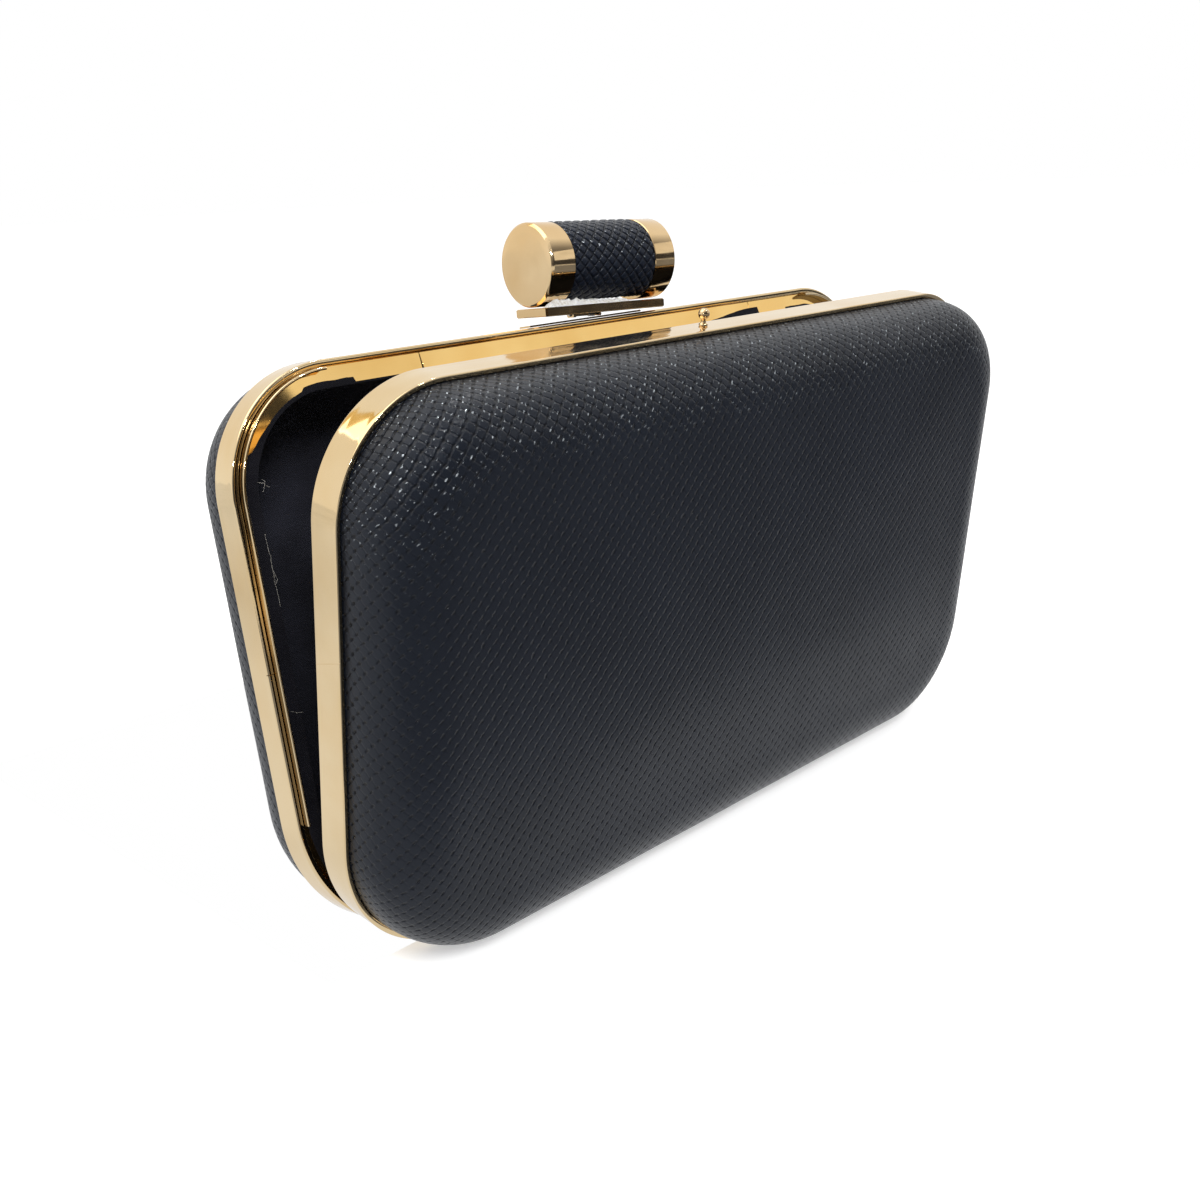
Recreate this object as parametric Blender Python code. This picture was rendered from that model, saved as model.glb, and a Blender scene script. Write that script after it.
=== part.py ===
"""Hard-case box clutch: two domed, leather-covered shells in gold rims, hinged along the bottom.

The case stands open on the bottom edges of its two rims. X runs along the case, Y from front to
back, Z up. Each half is modelled upright about the hinge axis, and its empty leans it over.
Sizes are in millimetres and are turned into metres when a mesh is written.
"""

import math

import bmesh
import bpy
from mathutils import Vector

MM = 0.001

# Case outline, shared by both halves
CASE_W = 180.0
CASE_H = 103.4
TOP_RADIUS = 21.5
BOTTOM_RADIUS = 26.5
CORNER_SEGMENTS = 8

# How the case stands: each half's lean about the hinge axis, in degrees
FRONT_LEAN = 6.76
BACK_LEAN = 8.04
CENTRE_SHIFT_Y = -0.498

# Rims: an outer band with a flange inside it, set deeper in front to leave room for the guide lips
FRONT_BAND = 6.7
BACK_BAND = 5.7
BAND_THICK = 0.8
FLANGE_W = 4.7
FLANGE_THICK = 0.9
FRONT_FLANGE = 1.5
BACK_FLANGE = 0.4
SEAM_CLEAR = 0.1
RIM_CHAMFER = 0.2
FIT_GAP = 0.3

# The stretch of the back rim's flange that the lock bar fills, and the guide lips beside it
LOCK_LEFT = -47.0
LOCK_RIGHT = 49.0
LIP_INSET = 1.3
LIP_THICK = 0.55
LIP_RISE = 1.2

# Shells: cover, core and lining are nested inside one another
COVER_INSET = 1.0
COVER_THICK = 0.8
CORE_THICK = 1.2
LINING_THICK = 0.6
LAYER_GAP = 0.15
FRONT_SHELL_EDGE = 2.7
BACK_SHELL_EDGE = 1.75
DOME_DEPTH = 13.2
DOME_ROUND = 15.6
DOME_POWER = 0.8
DOME_ANGLES = (20, 38, 54, 72, 90)
CROWN = 0.8
CROWN_SCALE = 0.5

# Hinge: knuckles rolled from the rims, turning on two pins
HINGE_UP = 1.3
KNUCKLE_R = 1.1
KNUCKLE_BORE = 0.56
PIN_R = 0.5
HINGE_X = 45.0
KNUCKLE_L = 7.0
KNUCKLE_GAP = 0.3
CENTRE_KNUCKLE_L = 14.0
NOTCH_HALF = 72.5
NOTCH_DEPTH = 1.5

# Ball stud on the front rim
BALL_X = -2.6
BALL_Y = -2.95
BALL_R = 1.1

# Clasp on the back rim
CLASP_X = -1.2
CLASP_Y = 3.3
CLASP_UP = 1.35
CLASP_YAW = -3.8
CLASP_TILT = 2.3
CLASP_PITCH = 3.0
CLASP_PIN_R = 0.4
CLASP_BORE = 0.46
PLATE_L = 33.1
PLATE_D = 9.8
PLATE_T = 1.75
PLATE_SHIFT = 2.6
BASE_T = 0.35
KNOB_L = 33.5
KNOB_R = 8.17
WRAP_L = 21.4
WRAP_R = 8.25
CAP_WALL = 0.7
KNOB_UP = 10.1

TOP_Z = CASE_H - HINGE_UP


def clear_scene():
    for obj in list(bpy.data.objects):
        bpy.data.objects.remove(obj, do_unlink=True)


def material(name, color, roughness, metallic=0.0):
    mat = bpy.data.materials.new(name)
    mat.use_nodes = True
    shader = mat.node_tree.nodes["Principled BSDF"]
    shader.inputs["Base Color"].default_value = (*color, 1.0)
    shader.inputs["Roughness"].default_value = roughness
    shader.inputs["Metallic"].default_value = metallic
    mat.diffuse_color = (*color, 1.0)
    return mat


def empty(name, location, rotation=(0.0, 0.0, 0.0), parent=None):
    obj = bpy.data.objects.new(name, None)
    obj.empty_display_size = 0.01
    obj.location = Vector(location) * MM
    obj.rotation_euler = [math.radians(a) for a in rotation]
    obj.parent = parent
    bpy.context.scene.collection.objects.link(obj)
    return obj


def add_object(name, bm, mat, parent=None, location=(0.0, 0.0, 0.0), smooth=False):
    bmesh.ops.recalc_face_normals(bm, faces=bm.faces[:])
    bmesh.ops.scale(bm, vec=(MM, MM, MM), verts=bm.verts[:])
    mesh = bpy.data.meshes.new(name)
    bm.to_mesh(mesh)
    bm.free()
    if mat is not None:
        mesh.materials.append(mat)
    if smooth:
        mesh.shade_smooth()
        mesh.set_sharp_from_angle(angle=math.radians(35))
    obj = bpy.data.objects.new(name, mesh)
    obj.location = Vector(location) * MM
    obj.parent = parent
    bpy.context.scene.collection.objects.link(obj)
    return obj


def cutter(name, bm, parent):
    obj = add_object(name, bm, None, parent)
    obj.hide_render = True
    obj.display_type = "WIRE"
    return obj


def boolean(obj, other, operation):
    mod = obj.modifiers.new(other.name, "BOOLEAN")
    mod.operation = operation
    mod.solver = "EXACT"
    mod.object = other


def add_box(bm, low, high):
    """A box between two corners."""
    verts = bmesh.ops.create_cube(bm, size=1.0)["verts"]
    low, high = Vector(low), Vector(high)
    for v in verts:
        v.co = Vector([low[i] + (v.co[i] + 0.5) * (high[i] - low[i]) for i in range(3)])
    return verts


def outline(inset):
    """The case outline this far inside its outer face, anticlockwise from the right-hand side."""
    corners = (
        (1, 1, 0, TOP_RADIUS),
        (-1, 1, 90, TOP_RADIUS),
        (-1, -1, 180, BOTTOM_RADIUS),
        (1, -1, 270, BOTTOM_RADIUS),
    )
    points = []
    for side, level, start, radius in corners:
        cx = side * (CASE_W / 2 - radius)
        cz = TOP_Z - radius if level > 0 else radius - HINGE_UP
        for i in range(CORNER_SEGMENTS + 1):
            a = math.radians(start + 90.0 * i / CORNER_SEGMENTS)
            points.append((cx + (radius - inset) * math.cos(a), cz + (radius - inset) * math.sin(a)))
    return points


def bridge(bm, first, second, closed=True):
    n = len(first)
    for i in range(n if closed else n - 1):
        j = (i + 1) % n
        bm.faces.new((first[i], first[j], second[j], second[i]))


def rim_mesh(side, band, flange):
    """Closed ring: the band's section swept round the outline. Side is -1 in front, 1 at the back."""
    t0 = SEAM_CLEAR
    section = (
        (RIM_CHAMFER, t0),
        (BAND_THICK, t0),
        (BAND_THICK, flange),
        (FLANGE_W, flange),
        (FLANGE_W, flange + FLANGE_THICK),
        (BAND_THICK, flange + FLANGE_THICK),
        (BAND_THICK, band),
        (RIM_CHAMFER, band),
        (0.0, band - RIM_CHAMFER),
        (0.0, t0 + RIM_CHAMFER),
    )
    bm = bmesh.new()
    rings = [[bm.verts.new((x, side * t, z)) for x, z in outline(s)] for s, t in section]
    for i, ring in enumerate(rings):
        bridge(bm, ring, rings[(i + 1) % len(rings)])
    return bm


def dome_rings(offset, side, band, edge):
    """Rings of one surface of a domed shell, from its edge to its crown, offset inwards."""
    rings = [(COVER_INSET + offset, edge, 1.0), (COVER_INSET + offset, band, 1.0)]
    span = DOME_ROUND - COVER_INSET
    for degrees in DOME_ANGLES:
        a = math.radians(degrees)
        c, s = max(math.cos(a), 1e-6), math.sin(a)
        inset = COVER_INSET + span * (1.0 - c**DOME_POWER)
        height = DOME_DEPTH * s**DOME_POWER
        along = Vector((span * c ** (DOME_POWER - 1) * s, DOME_DEPTH * s ** (DOME_POWER - 1) * c)).normalized()
        rings.append((inset + offset * along[1], band + height - offset * along[0], 1.0))
    rings.append((DOME_ROUND, band + DOME_DEPTH + 0.75 * CROWN - offset, CROWN_SCALE))
    middle = TOP_Z / 2 - HINGE_UP / 2
    loops = []
    for inset, depth, scale in rings:
        loops.append([(x * scale, side * depth, middle + (z - middle) * scale) for x, z in outline(inset)])
    return loops, (0.0, side * (band + DOME_DEPTH + CROWN - offset), middle)


def shell_mesh(side, band, edge, offset, thickness):
    """A domed cup: an outer and an inner surface joined along the seam edge."""
    bm = bmesh.new()
    edges = []
    for depth in (offset, offset + thickness):
        loops, centre = dome_rings(depth, side, band, edge)
        rings = [[bm.verts.new(p) for p in loop] for loop in loops]
        for a, b in zip(rings, rings[1:]):
            bridge(bm, a, b)
        tip = bm.verts.new(centre)
        last = rings[-1]
        for i, v in enumerate(last):
            bm.faces.new((v, last[(i + 1) % len(last)], tip))
        edges.append(rings[0])
    bridge(bm, edges[0], edges[1])
    return bm


def add_turned(bm, profile, segments, axis="X", centre=(0.0, 0.0, 0.0), closed=False):
    """Turn (station, radius) points about X or Z. A closed profile makes a ring, else ends on the axis."""
    loops = []
    for station, radius in profile:
        loop = []
        for i in range(segments):
            a = 2 * math.pi * i / segments
            u, v = radius * math.cos(a), radius * math.sin(a)
            p = (station, u, v) if axis == "X" else (u, v, station)
            loop.append(bm.verts.new(Vector(p) + Vector(centre)))
        loops.append(loop)
    for i in range(len(loops) if closed else len(loops) - 1):
        bridge(bm, loops[i], loops[(i + 1) % len(loops)])
    if not closed:
        bm.faces.new(loops[0])
        bm.faces.new(loops[-1])


def add_knuckle(bm, start, length, side):
    """A rolled knuckle: a tube about the hinge axis with a tongue that runs into the rim's band."""
    count = 24
    reach, top = 1.9, -0.7
    outer, inner = [], []
    for i in range(count):
        a = 2 * math.pi * i / count
        y, z = math.cos(a), math.sin(a)
        radius = KNUCKLE_R
        if -KNUCKLE_R * 1.0001 <= KNUCKLE_R * z < top * 0.3 and y >= -1e-6:
            radius = min(reach / max(y, 1e-6), KNUCKLE_R / abs(z))
            radius = radius if radius * z <= top * 0.999 else KNUCKLE_R
        outer.append((side * radius * y, radius * z))
        inner.append((side * KNUCKLE_BORE * y, KNUCKLE_BORE * z))
    loops = []
    for x, points in ((start, outer), (start + length, outer), (start + length, inner), (start, inner)):
        loops.append([bm.verts.new((x, y, z)) for y, z in points])
    for i, loop in enumerate(loops):
        bridge(bm, loop, loops[(i + 1) % 4])


def make_rim(name, side, band, flange, mat, parent):
    """A rim with room for the hinge cut along its bottom and its knuckles joined on."""
    rim = add_object(name, rim_mesh(side, band, flange), mat, parent, smooth=True)
    bm = bmesh.new()
    ends = sorted((side * -1.0, side * NOTCH_DEPTH))
    add_box(bm, (-NOTCH_HALF, ends[0], -HINGE_UP - 1.0), (NOTCH_HALF, ends[1], 4.5))
    boolean(rim, cutter(name + "_notch", bm, parent), "DIFFERENCE")
    if side > 0:
        bm = bmesh.new()
        low, high = TOP_Z - FLANGE_W - 0.5, TOP_Z - BAND_THICK - 0.1
        add_box(bm, (LOCK_LEFT, flange - 0.2, low), (LOCK_RIGHT, flange + FLANGE_THICK + 0.2, high))
        boolean(rim, cutter("lock_bar_seat", bm, parent), "DIFFERENCE")
    bm = bmesh.new()
    half = CENTRE_KNUCKLE_L / 2
    for x in (-HINGE_X, HINGE_X):
        if side > 0:
            add_knuckle(bm, x - half, CENTRE_KNUCKLE_L, side)
        else:
            add_knuckle(bm, x - half - KNUCKLE_GAP - KNUCKLE_L, KNUCKLE_L, side)
            add_knuckle(bm, x + half + KNUCKLE_GAP, KNUCKLE_L, side)
    boolean(rim, cutter(name + "_knuckles", bm, parent), "UNION")
    return rim


def make_hinge_pin(name, x, mat, parent):
    """A headed pin through one hinge's three knuckles."""
    half = CENTRE_KNUCKLE_L / 2 + KNUCKLE_GAP + KNUCKLE_L
    bm = bmesh.new()
    profile = (
        (-half - 0.7, 0.7),
        (-half - 0.55, 0.9),
        (-half - 0.15, 0.9),
        (-half - 0.15, PIN_R),
        (half + 0.15, PIN_R),
        (half + 0.15, 0.9),
        (half + 0.55, 0.9),
        (half + 0.7, 0.7),
    )
    add_turned(bm, profile, 20, "X", (x, 0.0, 0.0))
    return add_object(name, bm, mat, parent, smooth=True)


def make_shells(prefix, side, band, edge, mats, parent):
    cover = shell_mesh(side, band, edge, 0.0, COVER_THICK)
    add_object(prefix + "_cover", cover, mats["leather"], parent, smooth=True)
    core_offset = COVER_THICK + LAYER_GAP
    core = shell_mesh(side, band, edge, core_offset, CORE_THICK)
    add_object(prefix + "_shell", core, mats["board"], parent, smooth=True)
    lining_offset = core_offset + CORE_THICK + LAYER_GAP
    lining = shell_mesh(side, band, edge, lining_offset, LINING_THICK)
    add_object(prefix + "_lining", lining, mats["lining"], parent, smooth=True)


def make_ball_stud(mat, parent):
    """A turned stud with a foot, a neck and a ball, standing on the front rim's top."""
    neck, foot = 0.55, 0.35
    middle = 2.15
    profile = [(0.0, 0.85), (foot, 0.85), (foot + 0.2, neck), (middle - 0.88, neck)]
    for i in range(1, 9):
        a = math.radians(-50 + 138.0 * i / 8)
        profile.append((middle + BALL_R * math.sin(a), BALL_R * math.cos(a)))
    bm = bmesh.new()
    add_turned(bm, profile, 20, "Z")
    add_object("ball_stud", bm, mat, parent, (BALL_X, BALL_Y, TOP_Z + 0.05), smooth=True)


def make_guide_lip(name, side, mat, parent):
    """A strip raised past the seam along the back flange, round a top corner and down one side."""
    near, far = LIP_INSET, LIP_INSET + LIP_THICK
    front, back = -LIP_RISE, BACK_FLANGE - FIT_GAP
    bm = bmesh.new()
    section = (
        (near + 0.15, front),
        (far - 0.15, front),
        (far, front + 0.25),
        (far, back),
        (near, back),
        (near, front + 0.25),
    )
    loops = []
    start = 0 if side > 0 else CORNER_SEGMENTS + 1
    for inset, y in section:
        ring = outline(inset)
        arc = ring[start : start + CORNER_SEGMENTS + 1]
        if side > 0:
            arc.reverse()
        path = [*arc, (arc[-1][0], BOTTOM_RADIUS - HINGE_UP)]
        loops.append([bm.verts.new((x, y, z)) for x, z in path])
    count = len(loops)
    for i in range(count):
        bridge(bm, loops[i], loops[(i + 1) % count], closed=False)
    bm.faces.new([loop[0] for loop in loops])
    bm.faces.new([loop[-1] for loop in loops])
    return add_object(name, bm, mat, parent, smooth=True)


def make_lock_bar(mat, parent):
    """The straight bar that completes the back flange under the clasp."""
    bm = bmesh.new()
    low = (LOCK_LEFT + FIT_GAP, BACK_FLANGE, TOP_Z - FLANGE_W)
    high = (LOCK_RIGHT - FIT_GAP, BACK_FLANGE + FLANGE_THICK, TOP_Z - BAND_THICK - 0.1 - FIT_GAP)
    add_box(bm, low, high)
    bmesh.ops.bevel(bm, geom=bm.edges[:], offset=0.12, segments=1, affect="EDGES")
    add_object("lock_bar", bm, mat, parent)


def make_clasp_base(mat, parent):
    """The thin base plate brazed to the top of the back rim."""
    low = TOP_Z + 0.1
    bm = bmesh.new()
    add_box(bm, (-18.5, 0.5, low), (13.5, 5.2, low + BASE_T))
    upright = [e for e in bm.edges if abs(e.verts[0].co.z - e.verts[1].co.z) > 0.1]
    bmesh.ops.bevel(bm, geom=upright, offset=0.8, segments=3, affect="EDGES")
    add_object("clasp_base", bm, mat, parent)


def make_clasp_ear(name, x, mat, parent):
    """An ear that carries the clasp pin: a plate with a round top and a hole."""
    count, half_w, foot = 24, 1.05, -0.66
    bm = bmesh.new()
    loops = []
    for station, radius in ((x - 0.35, 0), (x + 0.35, 0), (x + 0.35, CLASP_BORE), (x - 0.35, CLASP_BORE)):
        loop = []
        for i in range(count):
            a = 2 * math.pi * (i + 0.5) / count
            y, z = math.cos(a), math.sin(a)
            reach = radius
            if not radius:
                reach = 0.62 if z > 0 else min(half_w / max(abs(y), 1e-6), abs(foot) / abs(z))
                reach = min(reach, half_w) if z > 0 else reach
            loop.append(bm.verts.new((station, reach * y, reach * z)))
        loops.append(loop)
    for i, loop in enumerate(loops):
        bridge(bm, loop, loops[(i + 1) % 4])
    return add_object(name, bm, mat, parent)


def make_clasp_pin(mat, parent):
    bm = bmesh.new()
    profile = ((-4.1, 0.3), (-4.0, CLASP_PIN_R), (4.0, CLASP_PIN_R), (4.1, 0.3))
    add_turned(bm, profile, 16)
    add_object("clasp_pin", bm, mat, parent, smooth=True)


def make_clasp_spring(mat, parent):
    """A torsion coil round the clasp pin, beside the plate's lug."""
    wire, coil, turns, steps, sides = 0.14, 0.6, 4.0, 12, 6
    start, pitch = 0.85, 0.45
    bm = bmesh.new()
    loops = []
    total = int(turns * steps)
    for k in range(total + 1):
        a = 2 * math.pi * k / steps
        along = Vector((pitch / (2 * math.pi), -coil * math.sin(a), coil * math.cos(a))).normalized()
        outward = Vector((0.0, math.cos(a), math.sin(a)))
        across = along.cross(outward)
        centre = Vector((start + pitch * k / steps, coil * math.cos(a), coil * math.sin(a)))
        loop = []
        for j in range(sides):
            b = 2 * math.pi * j / sides
            loop.append(bm.verts.new(centre + wire * (math.cos(b) * outward + math.sin(b) * across)))
        loops.append(loop)
    for a, b in zip(loops, loops[1:]):
        bridge(bm, a, b)
    bm.faces.new(loops[0])
    bm.faces.new(loops[-1])
    add_object("clasp_spring", bm, mat, parent, smooth=True)


def make_clasp_plate(mat, parent):
    """The upper plate, with a pocket underneath and a bored lug in it that turns on the pin."""
    bm = bmesh.new()
    add_box(
        bm,
        (PLATE_SHIFT - PLATE_L / 2, -PLATE_D / 2, 0.0),
        (PLATE_SHIFT + PLATE_L / 2, PLATE_D / 2, PLATE_T),
    )
    upright = [e for e in bm.edges if abs(e.verts[0].co.z - e.verts[1].co.z) > 0.1]
    bmesh.ops.bevel(bm, geom=upright, offset=0.6, segments=3, affect="EDGES")
    rims = [e for e in bm.edges if abs(e.verts[0].co.z - e.verts[1].co.z) < 0.1]
    bmesh.ops.bevel(bm, geom=rims, offset=0.15, segments=1, affect="EDGES")
    plate = add_object("clasp_plate", bm, mat, parent, smooth=True)
    bm = bmesh.new()
    add_box(bm, (-4.5, -2.3, -1.0), (4.5, 2.3, 1.0))
    boolean(plate, cutter("clasp_pocket", bm, parent), "DIFFERENCE")
    bm = bmesh.new()
    add_box(bm, (-2.8, -0.8, -0.5), (0.5, 0.8, 1.3))
    boolean(plate, cutter("clasp_lug", bm, parent), "UNION")
    bm = bmesh.new()
    add_turned(bm, ((-3.2, CLASP_BORE), (0.9, CLASP_BORE)), 24)
    boolean(plate, cutter("clasp_bore", bm, parent), "DIFFERENCE")


def make_knob(mats, parent):
    """The cylinder on the plate: a core, a leather wrap and two drawn metal caps."""
    centre = (PLATE_SHIFT, 0.0, KNOB_UP)
    half, wrap = KNOB_L / 2, WRAP_L / 2
    core_r = KNOB_R - CAP_WALL - 0.15
    bm = bmesh.new()
    add_turned(bm, ((-half + 0.95, core_r), (half - 0.95, core_r)), 48)
    add_object("knob_core", bm, mats["board"], parent, centre, smooth=True)
    bm = bmesh.new()
    inner = core_r + 0.1
    tube = ((-wrap, inner), (-wrap, WRAP_R - 0.1), (-wrap + 0.1, WRAP_R), (wrap - 0.1, WRAP_R), (wrap, WRAP_R - 0.1), (wrap, inner))
    add_turned(bm, tube, 48, closed=True)
    add_object("knob_wrap", bm, mats["leather"], parent, centre, smooth=True)
    for name, side in (("knob_cap_left", -1), ("knob_cap_right", 1)):
        mouth = wrap + 0.12
        bm = bmesh.new()
        cup = (
            (side * mouth, core_r + 0.1),
            (side * mouth, KNOB_R),
            (side * (half - 0.4), KNOB_R),
            (side * half, KNOB_R - 0.4),
        )
        add_cup(bm, cup, side * (half - 0.8), core_r + 0.1)
        add_object(name, bm, mats["gold"], parent, centre, smooth=True)


def add_cup(bm, outer, floor, inner_r):
    """A round cup about X: an outer profile that ends in a flat face, and a blind inside."""
    segments = 48
    loops = []
    for station, radius in [(floor, inner_r), *outer]:
        loop = []
        for i in range(segments):
            a = 2 * math.pi * i / segments
            loop.append(bm.verts.new((station, radius * math.cos(a), radius * math.sin(a))))
        loops.append(loop)
    for a, b in zip(loops, loops[1:]):
        bridge(bm, a, b)
    bm.faces.new(loops[0])
    bm.faces.new(loops[-1])


def make_glue_bead(mat, parent):
    """The bead of hard glue squeezed out between the wrap and the plate's front."""
    bm = bmesh.new()
    loops = []
    count, sides = 17, 6
    for k in range(count):
        x = -7.6 + 15.0 * k / (count - 1)
        swell = 0.75 + 0.25 * math.sin(2.3 * k) * math.cos(0.9 * k)
        taper = min(1.0, 0.45 + 0.25 * min(k, count - 1 - k))
        y0, z0 = -3.35 + 0.1 * math.sin(1.7 * k), PLATE_T + 0.42
        loop = []
        for j in range(sides):
            b = 2 * math.pi * j / sides
            loop.append(bm.verts.new((x, y0 + 0.6 * swell * taper * math.cos(b), z0 + 0.3 * swell * taper * math.sin(b))))
        loops.append(loop)
    for a, b in zip(loops, loops[1:]):
        bridge(bm, a, b)
    bm.faces.new(loops[0])
    bm.faces.new(loops[-1])
    add_object("glue_bead", bm, mat, parent, smooth=True)


def main():
    clear_scene()
    mats = {
        "gold": material("polished_gold", (0.86, 0.66, 0.36), 0.12, 1.0),
        "leather": material("black_leather", (0.018, 0.020, 0.026), 0.42),
        "lining": material("black_lining", (0.012, 0.012, 0.015), 0.85),
        "board": material("moulded_shell", (0.05, 0.05, 0.055), 0.6),
        "steel": material("steel", (0.6, 0.6, 0.62), 0.25, 1.0),
        "glue": material("dried_glue", (0.80, 0.78, 0.72), 0.45),
    }
    lean = math.radians(FRONT_LEAN)
    hinge_z = (FRONT_BAND - RIM_CHAMFER) * math.sin(lean) + HINGE_UP * math.cos(lean)
    hinge = (0.0, CENTRE_SHIFT_Y, hinge_z)
    front = empty("front_half", hinge, (FRONT_LEAN, 0.0, 0.0))
    back = empty("back_half", hinge, (-BACK_LEAN, 0.0, 0.0))

    make_rim("front_rim", -1, FRONT_BAND, FRONT_FLANGE, mats["gold"], front)
    make_shells("front", -1, FRONT_BAND, FRONT_SHELL_EDGE, mats, front)
    make_ball_stud(mats["gold"], front)
    make_hinge_pin("hinge_pin_left", -HINGE_X, mats["steel"], front)
    make_hinge_pin("hinge_pin_right", HINGE_X, mats["steel"], front)

    make_rim("back_rim", 1, BACK_BAND, BACK_FLANGE, mats["gold"], back)
    make_shells("back", 1, BACK_BAND, BACK_SHELL_EDGE, mats, back)
    make_guide_lip("guide_lip_left", -1, mats["gold"], back)
    make_guide_lip("guide_lip_right", 1, mats["gold"], back)
    make_lock_bar(mats["gold"], back)
    make_clasp_base(mats["gold"], back)

    pivot = (CLASP_X, CLASP_Y, TOP_Z + CLASP_UP)
    clasp = empty("clasp", pivot, (CLASP_PITCH, CLASP_TILT, CLASP_YAW), back)
    make_clasp_ear("clasp_ear_left", -3.4, mats["gold"], clasp)
    make_clasp_ear("clasp_ear_right", 3.4, mats["gold"], clasp)
    make_clasp_pin(mats["steel"], clasp)
    make_clasp_spring(mats["steel"], clasp)
    make_clasp_plate(mats["gold"], clasp)
    make_knob(mats, clasp)
    make_glue_bead(mats["glue"], clasp)


main()
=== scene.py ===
"""Looks for the box clutch: fine rims, leather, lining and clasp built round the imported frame."""

import math

import bmesh
import bpy
from mathutils import Matrix, Vector, noise


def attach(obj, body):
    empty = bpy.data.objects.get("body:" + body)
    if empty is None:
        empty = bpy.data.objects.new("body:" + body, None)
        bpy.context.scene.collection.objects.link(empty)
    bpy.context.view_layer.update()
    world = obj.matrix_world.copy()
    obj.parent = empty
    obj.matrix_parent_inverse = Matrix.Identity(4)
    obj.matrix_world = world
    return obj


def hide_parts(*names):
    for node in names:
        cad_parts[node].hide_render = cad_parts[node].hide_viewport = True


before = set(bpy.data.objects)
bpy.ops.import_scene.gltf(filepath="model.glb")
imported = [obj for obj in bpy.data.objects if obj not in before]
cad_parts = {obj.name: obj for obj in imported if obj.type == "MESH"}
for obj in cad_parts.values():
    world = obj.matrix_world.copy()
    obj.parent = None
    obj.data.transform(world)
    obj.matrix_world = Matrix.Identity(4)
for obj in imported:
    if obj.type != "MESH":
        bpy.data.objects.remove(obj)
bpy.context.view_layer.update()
MM = 0.001

# The case's sizes, in millimetres, as the frame has them
CASE_W, CASE_H = 180.0, 103.4
TOP_RADIUS, BOTTOM_RADIUS = 21.5, 26.5
FRONT_LEAN, BACK_LEAN = 6.76, 8.04
FRONT_BAND, BACK_BAND = 6.7, 5.7
BAND_THICK, FLANGE_W, FLANGE_THICK, SEAM_CLEAR = 0.8, 4.7, 0.9, 0.1
FRONT_FLANGE, BACK_FLANGE, SHOULDER = 1.5, 0.4, 1.15
DISH = 0.55
LOCK_LEFT, LOCK_RIGHT, LIP_INSET, LIP_THICK, LIP_RISE = -47.0, 49.0, 1.3, 0.55, 1.2
COVER_INSET, COVER_THICK, CORE_THICK, LINING_THICK, LAYER_GAP = 1.0, 0.8, 1.2, 0.6, 0.15
FRONT_SHELL_EDGE, BACK_SHELL_EDGE = 2.7, 1.75
DOME_DEPTH, DOME_ROUND, DOME_POWER, CROWN = 13.2, 15.6, 0.8, 0.8
HINGE_UP, HINGE_Y, HINGE_Z = 1.3, -0.498, 2.056
KNUCKLE_R, KNUCKLE_BORE, HINGE_X = 1.1, 0.56, 45.0
KNUCKLE_L, KNUCKLE_GAP, CENTRE_KNUCKLE_L = 7.0, 0.3, 14.0
NOTCH_HALF, NOTCH_DEPTH = 72.5, 1.5
BALL_X, BALL_Y, BALL_R = -2.6, -2.95, 1.1
CLASP_X, CLASP_Y, CLASP_UP = -1.2, 3.3, 1.35
CLASP_YAW, CLASP_TILT, CLASP_PITCH = -3.8, 2.3, 3.0
PLATE_L, PLATE_D, PLATE_T, PLATE_SHIFT = 33.1, 9.8, 1.75, 2.6
KNOB_L, KNOB_R, KNOB_UP, WRAP_L, WRAP_R, CAP_WALL = 33.5, 8.17, 10.1, 21.4, 8.25, 0.7
TOP_Z = CASE_H - HINGE_UP

CORE_R = KNOB_R - CAP_WALL - LAYER_GAP
BASE_LEFT, BASE_RIGHT, BASE_FRONT, BASE_BACK, BASE_THICK = -18.5, 13.5, 0.5, 5.2, 0.35
GLUE_LEFT, GLUE_L, GLUE_FRONT, GLUE_DEEP, GLUE_RISE = -13.4, 22.4, -5.0, 1.9, 1.45
BUTT_LOW, BUTT_WIDE = 57.33, 0.12
RIM_SHARP, PLATE_SHARP = 32.0, 30.0

# Directions across the leather's two groove families, in grooves per millimetre
EMBOSS = ((0.398, -0.375), (0.383, 0.445))
KNOB_EMBOSS = ((0.417, 0.417), (0.417, -0.417))
KNOB_GROOVE_DEPTH, KNOB_GROOVE_HALF = 0.13, 0.22

# Painted glints and deeper hatch grooves go on the case above a height, over a fade, and on the
# knob round one angle
GLINT_HATCH_FROM, GLINT_HATCH_FADE = 71.0, 25.0
KNOB_GLINT_HATCH_ANGLE, KNOB_GLINT_HATCH_SPREAD = 28.0, 30.0

# How far in from the outline the lining's glued edge lies, low down and at the top
LINING_LOW, LINING_HIGH = 2.0, 3.75
# How many waves a skin has in a millimetre
WAVE = 0.045

# Colours, each pair from the darkest tone to the lightest
# The flange and lock bar get a warmer gold than the rim's, on the same plating: a painted warm
# reflection
RIM_GOLD, FLANGE_REFLECTION_GOLD = (0.81, 0.635, 0.385), (0.97, 0.655, 0.25)
CLASP_GOLD = (0.80, 0.59, 0.335)
RIM_ROUGH, CLASP_ROUGH, CLASP_SCRATCH = 0.07, 0.08, 0.7
LEATHER_DARK, LEATHER_LIGHT = (0.0020, 0.0024, 0.0036), (0.0062, 0.0080, 0.0125)
KNOB_LEATHER_LIGHT = (0.0070, 0.0098, 0.0175)
# Pale metallic colour of the painted glints on the leather's crests
PAINTED_GLINT = (0.70, 0.76, 0.80, 1.0)
FABRIC_DARK, FABRIC_LIGHT = (0.0085, 0.0088, 0.0125), (0.018, 0.019, 0.027)
# The lining's raw edge is the lining cloth painted darker: painted shade
SHADED_EDGE_DARK, SHADED_EDGE_LIGHT = (0.0032, 0.0032, 0.0052), (0.0072, 0.0072, 0.011)

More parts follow.
